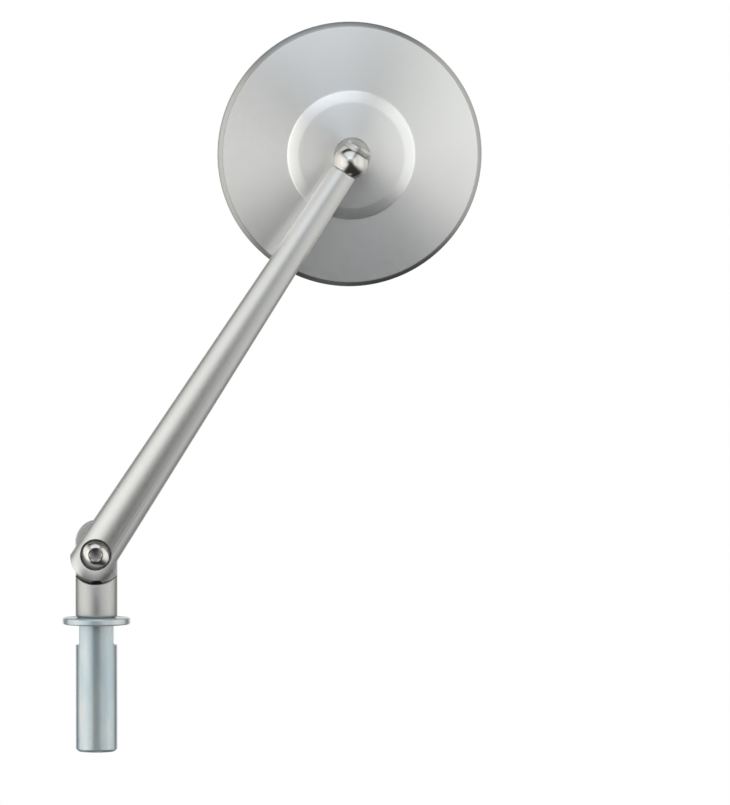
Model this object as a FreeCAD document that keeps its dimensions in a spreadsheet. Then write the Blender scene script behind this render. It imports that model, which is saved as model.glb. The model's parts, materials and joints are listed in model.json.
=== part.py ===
"""Scooter mirror: a round head on a ball joint, a tapered arm, a half-lap hinge and a clamped post.

Frame: millimetres, +Z up along the post. The origin is on the post's axis, at the top of the round length that is clamped.
The mirror's back faces -Y and its glass faces +Y. The arm leans towards +X about the hinge's Y axis.
"""
import FreeCAD, Part
import math
import os
import re

import Sketcher

# Driving sizes in millimetres and degrees, with what each one measures.
SIZES = (
    ("post_diameter", "16.0", "round pin that is clamped"),
    ("post_length", "41.0", "round length that is clamped, from the flats to the pin's end"),
    ("post_chamfer", "1.0", "at the pin's end"),
    ("spanner_width", "13.0", "across the two flats under the flange"),
    ("spanner_height", "7.8", "height of the flats"),
    ("flange_diameter", "26.0", "flange of the post"),
    ("flange_thickness", "2.6", "flange of the post"),
    ("flange_round", "0.7", "rounded rim of the flange"),
    ("stub_diameter", "8.0", "threaded stub in the knuckle"),
    ("stub_length", "11.0", "threaded stub in the knuckle"),
    ("thread_gap", "0.05", "radial gap in each screwed pair"),
    ("knuckle_diameter", "16.0", "round knuckle on the flange"),
    ("knuckle_chamfer", "0.8", "lower edge of the knuckle"),
    ("hinge_height", "27.0", "hinge axis above the flange's seat"),
    ("lug_rise", "4.8", "centre of the lug's round top above the hinge axis"),
    ("scoop_radius", "11.5", "scoop in the knuckle's front, about the hinge axis"),
    ("edge_break", "0.5", "chamfer on the lug's top edge"),
    ("lap_gap", "0.85", "gap between the two halves of the lap"),
    ("disc_thickness", "0.8", "friction disc in the lap"),
    ("disc_diameter", "14.4", "friction disc in the lap"),
    ("screw_diameter", "6.0", "hinge screw's shank"),
    ("screw_reach", "6.6", "shank behind the middle of the lap"),
    ("screw_head_diameter", "11.2", "hinge screw's button head"),
    ("screw_head_height", "3.3", "hinge screw's button head"),
    ("screw_head_rim", "0.6", "straight edge of the button head"),
    ("screw_top_diameter", "5.8", "flat round the hexagon socket"),
    ("screw_dome_radius", "6.4", "dome of the button head"),
    ("hexagon_width", "4.4", "across the flats of the hexagon socket"),
    ("hexagon_depth", "2.2", "hexagon socket"),
    ("lock_washer_thickness", "0.9", "spring washer under the screw head"),
    ("lock_washer_slit", "0.8", "cut through the spring washer"),
    ("counterbore_diameter", "12.0", "recess for the screw head"),
    ("arm_web", "3.2", "arm between the counterbore and the lap"),
    ("running_gap", "0.05", "gap of each face that turns on another"),
    ("arm_lean", "33.0", "arm from the vertical, in degrees"),
    ("arm_length", "179.0", "hinge axis to the centre of the socket's ball"),
    ("arm_root_diameter", "16.5", "arm at the hinge"),
    ("arm_tip_diameter", "10.0", "arm at the socket"),
    ("arm_tip_break", "0.3", "chamfer at the arm's tip"),
    ("arm_end_radius", "10.0", "round end of the arm, about the hinge axis"),
    ("arm_scoop_gap", "0.9", "between the lug's top and the arm's scoop"),
    ("socket_diameter", "13.2", "ball form of the socket"),
    ("socket_lower", "4.6", "ball centre to the flat on the arm"),
    ("socket_upper", "4.35", "ball centre to the flat under the boss"),
    ("boss_diameter", "10.6", "turned boss on the socket's end"),
    ("boss_length", "2.6", "turned boss on the socket's end"),
    ("boss_chamfer", "0.6", "end of the boss"),
    ("boss_groove", "0.3", "groove between the ball form and the boss"),
    ("boss_slot", "1.4", "width of the slot in the boss's end"),
    ("boss_slot_depth", "0.5", "slot in the boss's end"),
    ("chamber_diameter", "8.4", "bore of the socket"),
    ("chamber_roof", "0.95", "boss metal above the bore"),
    ("window_width", "6.2", "opening for the stud's neck"),
    ("spigot_length", "1.8", "arm's threaded tip in the socket"),
    ("spring_height", "0.6", "disc spring under the lower seat"),
    ("spring_plate", "0.35", "disc spring's metal"),
    ("spring_bore", "3.4", "disc spring's hole"),
    ("lower_seat_height", "1.65", "nylon cup under the ball"),
    ("upper_seat_height", "0.95", "nylon pad above the ball"),
    ("upper_seat_bore", "2.0", "hole in the nylon pad"),
    ("seat_gap", "0.08", "gap round the ball and the seats"),
    ("ball_offset", "2.4", "centre of the socket's ball form to the stud's ball"),
    ("ball_diameter", "7.0", "stud's ball"),
    ("neck_diameter", "3.2", "stud's neck"),
    ("stud_standoff", "8.6", "ball centre to the hub's seat"),
    ("collar_diameter", "13.9", "stud's collar on the hub"),
    ("collar_thickness", "1.0", "stud's collar on the hub"),
    ("collar_chamfer", "0.3", "rim of the collar"),
    ("stud_diameter", "5.0", "stud's thread"),
    ("stud_tail", "0.4", "thread past the nut"),
    ("stud_washer_diameter", "10.0", "washer under the nut"),
    ("stud_washer_thickness", "0.6", "washer under the nut"),
    ("nut_width", "8.0", "across the flats of the stud's nut"),
    ("nut_thickness", "2.7", "stud's nut"),
    ("head_turn", "6.5", "head about the arm at rest, in degrees"),
    ("head_diameter", "101.9", "round shell"),
    ("rim_wall", "3.1", "rim round the glass"),
    ("rim_round", "0.8", "front edge of the rim"),
    ("rim_depth", "5.8", "rim's front to the outer edge of the back"),
    ("rim_bevel", "1.5", "bevel between the rim and the back"),
    ("back_radius", "380.0", "bulge of the back between the rim and the hub"),
    ("hub_diameter", "49.2", "raised hub"),
    ("hub_base", "8.7", "rim's front to the foot of the hub"),
    ("hub_step", "0.35", "upright edge at the foot of the hub"),
    ("hub_bevel", "4.2", "width of the hub's bevel"),
    ("hub_bevel_radius", "28.0", "bulge of the hub's bevel"),
    ("hub_height", "10.5", "rim's front to the edge of the hub's top"),
    ("hub_top_radius", "138.0", "bulge of the hub's top"),
    ("hub_seat", "11.8", "rim's front to the flat under the collar"),
    ("hub_seat_diameter", "15.0", "flat under the collar"),
    ("hub_wall", "2.2", "hub under the collar"),
    ("hub_hollow", "36.0", "diameter of the hollow behind the hub"),
    ("shell_wall", "2.0", "back of the shell"),
    ("ledge_width", "3.0", "ledge behind the glass"),
    ("seal_wall", "0.8", "seal round the glass"),
    ("seal_foot", "0.5", "seal behind the glass"),
    ("seal_foot_width", "2.6", "seal behind the glass, inwards"),
    ("seal_recess", "0.45", "rim's front to the seal"),
    ("seal_gap", "0.02", "gap between the glass, the seal and the rim"),
    ("glass_recess", "0.8", "rim's front to the glass's edge"),
    ("glass_thickness", "2.0", "mirror glass"),
    ("glass_radius", "1200.0", "bulge of the glass"),
)
ALIASES = {alias for alias, _, _ in SIZES}
OVERRUN = 1.0  # how far a cut runs past the metal it removes
BEVEL = 45  # slope of a bevelled edge, in degrees

# Levels and radii that several pieces share, written with the names of the sizes.
COUNTERBORE_FLOOR = "(lap_gap / 2 + arm_web)"
SCREW_SEAT = f"({COUNTERBORE_FLOOR} + running_gap + lock_washer_thickness)"
LUG_RADIUS = "(knuckle_diameter / 2)"
FLANGE_SEAT = "spanner_height"
FLANGE_TOP = f"({FLANGE_SEAT} + flange_thickness)"
HINGE = f"({FLANGE_SEAT} + hinge_height)"
LUG_CENTRE = f"({HINGE} + lug_rise)"
LUG_TOP = f"({LUG_CENTRE} + {LUG_RADIUS})"
ARM_TIP = "(arm_length - socket_lower)"
CHAMBER_TOP = "(socket_upper + boss_length - chamber_roof)"
SPIGOT_TOP = "(spigot_length - socket_lower)"
SEAT_BOTTOM = f"({SPIGOT_TOP} + spring_height + running_gap)"
BALL_SEAT_RADIUS = "(ball_diameter / 2 + seat_gap)"
HEAD_FRONT = "(0 - stud_standoff - hub_seat)"
HUB_INSIDE = "(0 - stud_standoff - hub_wall)"
WASHER_FACE = f"({HUB_INSIDE} - running_gap)"
NUT_FACE = f"({WASHER_FACE} - stud_washer_thickness)"
NUT_END = f"({NUT_FACE} - nut_thickness)"
RIM_INSIDE = "(head_diameter / 2 - rim_wall)"
GLASS_RADIUS = f"({RIM_INSIDE} - seal_wall)"
LEDGE = "(glass_recess + glass_thickness + seal_foot)"


def make_sheet(doc):
    """Fill the document's sheet with the driving sizes."""
    sheet = doc.addObject("Spreadsheet::Sheet", "Sizes")
    for row, (alias, value, meaning) in enumerate(SIZES, start=1):
        sheet.set(f"A{row}", meaning)
        sheet.set(f"B{row}", value)
        sheet.setAlias(f"B{row}", alias)
    doc.recompute()
    return sheet


def bound(text):
    """Point every size that the text names at its cell of the sheet."""
    return re.sub(r"[a-z_]+", lambda word: f"Sizes.{word[0]}" if word[0] in ALIASES else word[0], text)


class Modeller:
    """Builds the bodies of one document from the sizes in its sheet."""

    def __init__(self):
        self.doc = FreeCAD.newDocument("scooter_mirror")
        self.sheet = make_sheet(self.doc)
        self.bodies = []

    def value(self, text):
        """Work out an expression of the sheet as a number."""
        return float(self.sheet.evalExpression(bound(text)))

    def body(self, label, placement=None):
        """Start a sub-part in a frame of its own."""
        body = self.doc.addObject("PartDesign::Body", label)
        body.Label = label
        body.Placement = placement or FreeCAD.Placement()
        self.bodies.append(body)
        return body

    def sketch(self, body, name, plane, lift="0"):
        """Start a sketch on one of the body's own planes, lifted along the plane's normal."""
        sketch = body.newObject("Sketcher::SketchObject", name)
        support = next(item for item in body.Origin.OriginFeatures if item.Role == plane)
        sketch.AttachmentSupport = [(support, "")]
        sketch.MapMode = "FlatFace"
        if lift != "0":
            sketch.setExpression("AttachmentOffset.Base.z", bound(lift))
        return sketch

    def bind(self, sketch, constraint, text):
        """Add a driving constraint whose value comes from the sheet."""
        index = sketch.addConstraint(constraint)
        name = f"size_{index}"
        sketch.renameConstraint(index, name)
        sketch.setExpression(f"Constraints.{name}", bound(text))

    def pin(self, sketch, geometry, end, text, axis, kind):
        """Hold one coordinate of a point: on the axis where it is zero, by a bound distance elsewhere."""
        if text == "0":
            sketch.addConstraint(Sketcher.Constraint("PointOnObject", geometry, end, axis))
            return
        value = self.value(text)
        self.bind(sketch, Sketcher.Constraint(kind, -1, 1, geometry, end, value), text)

    def outline(self, sketch, corners, arcs=None):
        """Draw a closed outline.

        corners holds (across, up) pairs of expressions. arcs maps the number of a corner to the radius of
        the arc that leaves it and the side of its centre: +1 to the left of the way along, -1 to the right.
        """
        arcs = arcs or {}
        points = [FreeCAD.Vector(self.value(across), self.value(up), 0) for across, up in corners]
        ends = []
        for number, start in enumerate(points):
            stop = points[(number + 1) % len(points)]
            if number in arcs:
                radius, side = arcs[number]
                index = sketch.addGeometry(arc_between(start, stop, self.value(radius), side), False)
                ends.append((index, 1, 2) if side > 0 else (index, 2, 1))
            else:
                index = sketch.addGeometry(Part.LineSegment(start, stop), False)
                ends.append((index, 1, 2))
        for number, (index, _, last) in enumerate(ends):
            after, first, _ = ends[(number + 1) % len(ends)]
            sketch.addConstraint(Sketcher.Constraint("Coincident", index, last, after, first))
        for (across, up), (index, first, _) in zip(corners, ends):
            self.pin(sketch, index, first, across, -2, "DistanceX")
            self.pin(sketch, index, first, up, -1, "DistanceY")
        for number, (radius, _) in arcs.items():
            index = ends[number][0]
            self.bind(sketch, Sketcher.Constraint("Radius", index, self.value(radius)), radius)

    def circle(self, sketch, across, up, radius):
        """Draw a circle."""
        centre = FreeCAD.Vector(self.value(across), self.value(up), 0)
        normal = FreeCAD.Vector(0, 0, 1)
        index = sketch.addGeometry(Part.Circle(centre, normal, self.value(radius)), False)
        self.pin(sketch, index, 3, across, -2, "DistanceX")
        self.pin(sketch, index, 3, up, -1, "DistanceY")
        self.bind(sketch, Sketcher.Constraint("Radius", index, self.value(radius)), radius)

    def hexagon(self, sketch, width):
        """Draw a hexagon by its width across flats, with two corners on the sketch's own X axis."""
        corners = []
        for corner in range(6):
            across = f"{width} / sqrt(3) * cos({60 * corner} deg)"
            up = "0" if corner % 3 == 0 else f"{width} / sqrt(3) * sin({60 * corner} deg)"
            corners.append((across, up))
        self.outline(sketch, corners)

    def turned(self, body, name, corners, arcs=None, cut=False):
        """Turn an outline about the body's Z axis, as metal or as a cut."""
        sketch = self.sketch(body, f"{name}_outline", "XZ_Plane")
        self.outline(sketch, corners, arcs)
        kind = "PartDesign::Groove" if cut else "PartDesign::Revolution"
        feature = body.newObject(kind, name)
        feature.Profile = sketch
        feature.ReferenceAxis = (sketch, ["V_Axis"])
        feature.Angle = 360
        self.doc.recompute()
        return feature

    def pocket(self, body, name, sketch, depth=None, reverse=False, both=False):
        """Cut a sketch out of the body: to a depth, or through all, on one side or both sides of its plane."""
        before = body.Shape.Volume
        feature = body.newObject("PartDesign::Pocket", name)
        feature.Profile = sketch
        feature.SideType = "Symmetric" if both else "One side"
        feature.Reversed = reverse
        if depth is None:
            feature.Type = "ThroughAll"
        else:
            feature.Type = "Length"
            feature.setExpression("Length", bound(depth))
        self.doc.recompute()
        if body.Shape.Volume >= before:
            raise RuntimeError(f"{body.Label}: {name} cuts nothing")
        return feature

    def write(self):
        """Check every object of the document, then write each sub-part to its own file."""
        self.doc.recompute()
        for item in self.doc.Objects:
            if "Invalid" in item.State or "Error" in item.State:
                raise RuntimeError(f"{item.Label} failed: {item.State}")
        for body in self.bodies:
            if body.Shape.isNull() or not body.Shape.isValid() or len(body.Shape.Solids) != 1:
                raise RuntimeError(f"{body.Label} is not one valid solid")
        os.makedirs("parts", exist_ok=True)
        for body in self.bodies:
            body.Shape.exportStep(f"parts/{body.Label}.step")
            print(f"{body.Label}: {body.Shape.Volume:.1f} cubic millimetres")


def arc_between(start, stop, radius, side):
    """The short arc of a radius between two points, with its centre on the given side of the way along."""
    chord = stop - start
    along = math.atan2(chord.y, chord.x)
    rise = math.sqrt(radius ** 2 - (chord.Length / 2) ** 2)
    toward_centre = FreeCAD.Vector(-math.sin(along), math.cos(along), 0) * side
    centre = (start + stop) * 0.5 + toward_centre * rise
    first, last = (start, stop) if side > 0 else (stop, start)
    circle = Part.Circle(centre, FreeCAD.Vector(0, 0, 1), radius)
    angles = [math.atan2(point.y - centre.y, point.x - centre.x) for point in (first, last)]
    return Part.ArcOfCircle(circle, angles[0], angles[1])


def hinge_frame(model):
    """Frame on the hinge axis with Z towards the screw's head."""
    base = FreeCAD.Vector(0, 0, model.value(HINGE))
    return FreeCAD.Placement(base, FreeCAD.Rotation(FreeCAD.Vector(1, 0, 0), 90))


def arm_frame(model):
    """Frame on the hinge axis with Z along the arm."""
    base = FreeCAD.Vector(0, 0, model.value(HINGE))
    return FreeCAD.Placement(base, FreeCAD.Rotation(FreeCAD.Vector(0, 1, 0), model.value("arm_lean")))


def socket_frame(model):
    """Frame at the centre of the socket's ball form, with Z along the arm and Y towards the head."""
    lift = FreeCAD.Vector(0, 0, model.value("arm_length"))
    turn = FreeCAD.Rotation(FreeCAD.Vector(0, 0, 1), model.value("head_turn"))
    return arm_frame(model).multiply(FreeCAD.Placement(lift, turn))


def head_frame(model):
    """Frame at the centre of the stud's ball, with Z out of the mirror's back."""
    lift = FreeCAD.Vector(0, 0, model.value("ball_offset"))
    upright = FreeCAD.Rotation(FreeCAD.Vector(1, 0, 0), 90)
    return socket_frame(model).multiply(FreeCAD.Placement(lift, upright))


def mount_post(model):
    """Turned steel pin with a flange, spanner flats under it and a threaded stub on top."""
    body = model.body("mount_post")
    rim = "flange_diameter / 2"
    stub_end = f"{FLANGE_TOP} + stub_length"
    model.turned(body, "pin", [
        ("0", "0 - post_length"),
        ("post_diameter / 2 - post_chamfer", "0 - post_length"),
        ("post_diameter / 2", "post_chamfer - post_length"),
        ("post_diameter / 2", FLANGE_SEAT),
        (f"{rim} - flange_round", FLANGE_SEAT),
        (rim, f"{FLANGE_SEAT} + flange_round"),
        (rim, f"{FLANGE_TOP} - flange_round"),
        (f"{rim} - flange_round", FLANGE_TOP),
        ("stub_diameter / 2", FLANGE_TOP),
        ("stub_diameter / 2", stub_end),
        ("0", stub_end),
    ], {4: ("flange_round", 1), 6: ("flange_round", 1)})
    flats = model.sketch(body, "flats_outline", "XZ_Plane")
    for side in ("1", "-1"):
        inner = f"{side} * spanner_width / 2"
        outer = f"{side} * (post_diameter / 2 + {OVERRUN})"
        model.outline(flats, [(inner, "0"), (outer, "0"), (outer, FLANGE_SEAT), (inner, FLANGE_SEAT)])
    model.pocket(body, "flats", flats, both=True)


def base_knuckle(model):
    """Round knuckle: a threaded hole below, a scoop in front and a round-topped lug behind."""
    body = model.body("base_knuckle")
    bore = "(stub_diameter / 2 + thread_gap)"
    bore_end = f"({FLANGE_TOP} + stub_length + {OVERRUN})"
    model.turned(body, "round_bar", [
        (bore, FLANGE_TOP),
        (f"{LUG_RADIUS} - knuckle_chamfer", FLANGE_TOP),
        (LUG_RADIUS, f"{FLANGE_TOP} + knuckle_chamfer"),
        (LUG_RADIUS, LUG_TOP),
        ("0", LUG_TOP),
        ("0", f"{bore_end} + {bore} * tan(30 deg)"),
        (bore, bore_end),
    ])
    above = f"{LUG_TOP} + {OVERRUN}"
    top = model.sketch(body, "lug_top_outline", "XZ_Plane")
    beside = f"({LUG_RADIUS} + {OVERRUN})"
    model.outline(top, [
        (LUG_RADIUS, LUG_CENTRE),
        (beside, LUG_CENTRE),
        (beside, above),
        (f"0 - {beside}", above),
        (f"0 - {beside}", LUG_CENTRE),
        (f"0 - {LUG_RADIUS}", LUG_CENTRE),
        ("0", LUG_TOP),
    ], {5: (LUG_RADIUS, -1), 6: (LUG_RADIUS, -1)})
    model.pocket(body, "lug_top", top, both=True)
    scoop = model.sketch(body, "scoop_outline", "XZ_Plane", "0 - lap_gap / 2")
    model.outline(scoop, [
        ("0 - scoop_radius", HINGE),
        ("0", f"{HINGE} - scoop_radius"),
        ("scoop_radius", HINGE),
        ("scoop_radius", above),
        ("0 - scoop_radius", above),
    ], {0: ("scoop_radius", 1), 1: ("scoop_radius", 1)})
    model.pocket(body, "scoop", scoop, reverse=True)
    thread = model.sketch(body, "hinge_thread_outline", "XZ_Plane")
    model.circle(thread, "0", HINGE, "screw_diameter / 2 + thread_gap")
    model.pocket(body, "hinge_thread", thread, both=True)
    break_lug_edge(model, body, above)


def break_lug_edge(model, body, above):
    """Bevel the edge between the lug's flat face and its round top."""
    bevel = model.sketch(body, "lug_edge_outline", "XZ_Plane", "0 - lap_gap / 2")
    inside = f"({LUG_RADIUS} - edge_break)"
    beside = f"({LUG_RADIUS} + {OVERRUN})"
    model.outline(bevel, [
        (inside, LUG_CENTRE),
        (beside, LUG_CENTRE),
        (beside, above),
        (f"0 - {beside}", above),
        (f"0 - {beside}", LUG_CENTRE),
        (f"0 - {inside}", LUG_CENTRE),
        ("0", f"{LUG_CENTRE} + {inside}"),
    ], {5: (inside, -1), 6: (inside, -1)})
    cut = model.pocket(body, "lug_edge", bevel, "edge_break")
    cut.TaperAngle = BEVEL
    model.doc.recompute()


def hinge_screw(model):
    """Button-head screw with a hexagon socket, from the arm's counterbore into the lug."""
    body = model.body("hinge_screw", hinge_frame(model))
    head_top = f"{SCREW_SEAT} + screw_head_height"
    model.turned(body, "blank", [
        ("0", "0 - screw_reach"),
        ("screw_diameter / 2", "0 - screw_reach"),
        ("screw_diameter / 2", SCREW_SEAT),
        ("screw_head_diameter / 2", SCREW_SEAT),
        ("screw_head_diameter / 2", f"{SCREW_SEAT} + screw_head_rim"),
        ("screw_top_diameter / 2", head_top),
        ("0", head_top),
    ], {4: ("screw_dome_radius", 1)})
    socket = model.sketch(body, "hexagon_outline", "XY_Plane", head_top)
    model.hexagon(socket, "hexagon_width")
    model.pocket(body, "hexagon", socket, "hexagon_depth")
    floor = f"{head_top} - hexagon_depth"
    model.turned(body, "drill_point", [
        ("0", f"{floor} - hexagon_width / 2 * tan(30 deg)"),
        ("hexagon_width / 2", floor),
        ("0", floor),
    ], cut=True)


def hinge_spring_washer(model):
    """Split spring washer under the screw's head."""
    body = model.body("hinge_spring_washer", hinge_frame(model))
    inner = "screw_diameter / 2 + 4 * running_gap"
    outer = "screw_head_diameter / 2 - 4 * running_gap"
    low = f"{COUNTERBORE_FLOOR} + running_gap"
    ring(model, body, inner, outer, low, SCREW_SEAT)
    slit = model.sketch(body, "slit_outline", "XY_Plane")
    model.outline(slit, [
        ("0", "lock_washer_slit / 2"),
        ("0", "0 - lock_washer_slit / 2"),
        ("screw_head_diameter", "0 - lock_washer_slit / 2"),
        ("screw_head_diameter", "lock_washer_slit / 2"),
    ])
    model.pocket(body, "slit", slit, reverse=True)


def hinge_friction_disc(model):
    """Thin disc between the lug and the arm."""
    body = model.body("hinge_friction_disc", hinge_frame(model))
    low = "0 - lap_gap / 2"
    ring(model, body, "screw_diameter / 2 + 4 * running_gap", "disc_diameter / 2", low, f"{low} + disc_thickness")


def ring(model, body, inner, outer, low, high):
    """A plain turned ring between two radii and two levels."""
    model.turned(body, "turned_ring", [(inner, low), (outer, low), (outer, high), (inner, high)])


def mirror_arm(model):
    """Tapered round arm: half lapped at the hinge, with a threaded tip for the socket."""
    body = model.body("mirror_arm", arm_frame(model))
    root = "arm_root_diameter / 2"
    tip = "arm_tip_diameter / 2"
    spigot = "chamber_diameter / 2 - thread_gap"
    model.turned(body, "taper", [
        ("0", "0 - arm_end_radius"),
        (root, "0 - arm_end_radius"),
        (root, "0"),
        (tip, f"{ARM_TIP} - arm_tip_break"),
        (f"{tip} - arm_tip_break", ARM_TIP),
        (spigot, ARM_TIP),
        (spigot, f"{ARM_TIP} + spigot_length"),
        ("0", f"{ARM_TIP} + spigot_length"),
    ])
    past = f"(arm_end_radius + {OVERRUN})"
    end = model.sketch(body, "round_end_outline", "XZ_Plane")
    model.outline(end, [
        ("arm_end_radius", "0"),
        ("0", "0 - arm_end_radius"),
        ("0 - arm_end_radius", "0"),
        (f"0 - {past}", "0"),
        (f"0 - {past}", f"0 - {past}"),
        (past, f"0 - {past}"),
        (past, "0"),
    ], {0: ("arm_end_radius", -1), 1: ("arm_end_radius", -1)})
    model.pocket(body, "round_end", end, both=True)
    reach = f"(lug_rise + {LUG_RADIUS} + arm_scoop_gap)"
    lap = model.sketch(body, "lap_outline", "XZ_Plane", "lap_gap / 2")
    model.outline(lap, [
        (f"0 - {reach}", f"0 - {past}"),
        (reach, f"0 - {past}"),
        (reach, "0"),
        ("0", reach),
        (f"0 - {reach}", "0"),
    ], {2: (reach, 1), 3: (reach, 1)})
    model.pocket(body, "lap", lap)
    counterbore = model.sketch(body, "counterbore_outline", "XZ_Plane", COUNTERBORE_FLOOR)
    model.circle(counterbore, "0", "0", "counterbore_diameter / 2")
    model.pocket(body, "counterbore", counterbore, reverse=True)
    hole = model.sketch(body, "hinge_hole_outline", "XZ_Plane")
    model.circle(hole, "0", "0", "screw_diameter / 2 + running_gap")
    model.pocket(body, "hinge_hole", hole, both=True)


def ball_socket(model):
    """Ball-shaped socket with two flat ends, a turned end boss and a window for the stud's neck."""
    body = model.body("ball_socket", socket_frame(model))
    sphere = "socket_diameter / 2"
    lower = f"sqrt(({sphere}) ^ 2 - socket_lower ^ 2)"
    upper = f"sqrt(({sphere}) ^ 2 - socket_upper ^ 2)"
    bore = "chamber_diameter / 2"
    boss = "boss_diameter / 2"
    boss_end = "socket_upper + boss_length"
    model.turned(body, "turned_body", [
        (bore, "0 - socket_lower"),
        (lower, "0 - socket_lower"),
        (upper, "socket_upper"),
        (f"{upper} - boss_groove", "socket_upper"),
        (f"{upper} - boss_groove", "socket_upper + boss_groove"),
        (boss, "socket_upper + boss_groove"),
        (boss, f"{boss_end} - boss_chamfer"),
        (f"{boss} - boss_chamfer", boss_end),
        ("0", boss_end),
        ("0", CHAMBER_TOP),
        (bore, CHAMBER_TOP),
    ], {1: (sphere, 1)})
    window = model.sketch(body, "window_outline", "XZ_Plane")
    half = "window_width / 2"
    below = f"0 - socket_lower - {OVERRUN}"
    model.outline(window, [
        (f"0 - {half}", below),
        (half, below),
        (half, f"ball_offset + {half}"),
        (f"0 - {half}", f"ball_offset + {half}"),
    ])
    model.pocket(body, "window", window)
    slot = model.sketch(body, "slot_outline", "XY_Plane", boss_end)
    model.outline(slot, [
        ("0 - boss_diameter", "0 - boss_slot / 2"),
        ("boss_diameter", "0 - boss_slot / 2"),
        ("boss_diameter", "boss_slot / 2"),
        ("0 - boss_diameter", "boss_slot / 2"),
    ])
    model.pocket(body, "slot", slot, "boss_slot_depth")


def seat_spring(model):
    """Cone-shaped disc spring on the arm's threaded tip."""
    body = model.body("seat_spring", socket_frame(model))
    outer = "chamber_diameter / 2 - 4 * seat_gap"
    inner = "spring_bore / 2"
    model.turned(body, "disc", [
        (outer, SPIGOT_TOP),
        (outer, f"{SPIGOT_TOP} + spring_plate"),
        (inner, f"{SPIGOT_TOP} + spring_height"),
        (inner, f"{SPIGOT_TOP} + spring_height - spring_plate"),
    ])


def lower_ball_seat(model):
    """Nylon cup that carries the ball from below."""
    body = model.body("lower_ball_seat", socket_frame(model))
    top = f"({SEAT_BOTTOM} + lower_seat_height)"
    cup = f"sqrt({BALL_SEAT_RADIUS} ^ 2 - (ball_offset - {top}) ^ 2)"
    model.turned(body, "cup", [
        ("0", SEAT_BOTTOM),
        ("chamber_diameter / 2 - seat_gap", SEAT_BOTTOM),
        ("chamber_diameter / 2 - seat_gap", top),
        (cup, top),
        ("0", f"ball_offset - {BALL_SEAT_RADIUS}"),
    ], {3: (BALL_SEAT_RADIUS, -1)})


def upper_ball_seat(model):
    """Nylon pad between the ball and the end of the socket's bore."""
    body = model.body("upper_ball_seat", socket_frame(model))
    low = f"({CHAMBER_TOP} - upper_seat_height)"
    bore = "upper_seat_bore / 2"
    cup = f"sqrt({BALL_SEAT_RADIUS} ^ 2 - ({low} - ball_offset) ^ 2)"
    bore_foot = f"ball_offset + sqrt({BALL_SEAT_RADIUS} ^ 2 - ({bore}) ^ 2)"
    model.turned(body, "pad", [
        (cup, low),
        ("chamber_diameter / 2 - seat_gap", low),
        ("chamber_diameter / 2 - seat_gap", CHAMBER_TOP),
        (bore, CHAMBER_TOP),
        (bore, bore_foot),
    ], {4: (BALL_SEAT_RADIUS, -1)})


def ball_stud(model):
    """Stud with a ball, a neck, a collar on the hub and a thread through it."""
    body = model.body("ball_stud", head_frame(model))
    ball = "ball_diameter / 2"
    neck = "neck_diameter / 2"
    collar = "collar_diameter / 2"
    seat = "0 - stud_standoff + running_gap"
    collar_top = "0 - stud_standoff + collar_thickness"
    end = f"{NUT_END} - stud_tail"
    model.turned(body, "turned_stud", [
        ("0", end),
        ("stud_diameter / 2", end),
        ("stud_diameter / 2", seat),
        (collar, seat),
        (collar, f"{collar_top} - collar_chamfer"),
        (f"{collar} - collar_chamfer", collar_top),
        (neck, collar_top),
        (neck, f"0 - sqrt(({ball}) ^ 2 - ({neck}) ^ 2)"),
        ("0", ball),
    ], {7: (ball, 1)})


def stud_washer(model):
    """Washer between the hub's inner face and the nut."""
    body = model.body("stud_washer", head_frame(model))
    ring(model, body, "stud_diameter / 2 + running_gap", "stud_washer_diameter / 2", NUT_FACE, WASHER_FACE)


def stud_nut(model):
    """Thin hexagon nut on the stud."""
    body = model.body("stud_nut", head_frame(model))
    outline = model.sketch(body, "hexagon_outline", "XY_Plane", NUT_END)
    model.hexagon(outline, "nut_width")
    model.circle(outline, "0", "0", "stud_diameter / 2 + thread_gap")
    prism = body.newObject("PartDesign::Pad", "prism")
    prism.Profile = outline
    prism.setExpression("Length", bound("nut_thickness"))
    model.doc.recompute()


def above_rim(depth):
    """Level in the head's frame of a depth measured from the rim's front."""
    return f"{HEAD_FRONT} + {depth}"


def mirror_housing(model):
    """Turned shell: rim, bevel, bulging back and raised hub, hollow behind the glass."""
    body = model.body("mirror_housing", head_frame(model))
    rim = "head_diameter / 2"
    hub = "hub_diameter / 2"
    cavity = f"({RIM_INSIDE} - ledge_width)"
    hole = "stud_diameter / 2 + running_gap"
    hollow_top = "(hub_seat - hub_wall)"
    model.turned(body, "shell", [
        (hole, above_rim(hollow_top)),
        ("hub_hollow / 2", above_rim(hollow_top)),
        (hub, above_rim("hub_base - shell_wall")),
        (cavity, above_rim("rim_depth - shell_wall + ledge_width * (hub_base - rim_depth) / hub_diameter")),
        (cavity, above_rim(LEDGE)),
        (RIM_INSIDE, above_rim(LEDGE)),
        (RIM_INSIDE, above_rim("0")),
        (f"{rim} - rim_round", above_rim("0")),
        (rim, above_rim("rim_round")),
        (rim, above_rim("rim_depth - rim_bevel")),
        (f"{rim} - rim_bevel", above_rim("rim_depth")),
        (hub, above_rim("hub_base")),
        (hub, above_rim("hub_base + hub_step")),
        (f"{hub} - hub_bevel", above_rim("hub_height")),
        ("hub_seat_diameter / 2", above_rim("hub_seat")),
        (hole, above_rim("hub_seat")),
    ], {
        7: ("rim_round", 1),
        10: ("back_radius", 1),
        12: ("hub_bevel_radius", 1),
        13: ("hub_top_radius", 1),
    })


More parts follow.
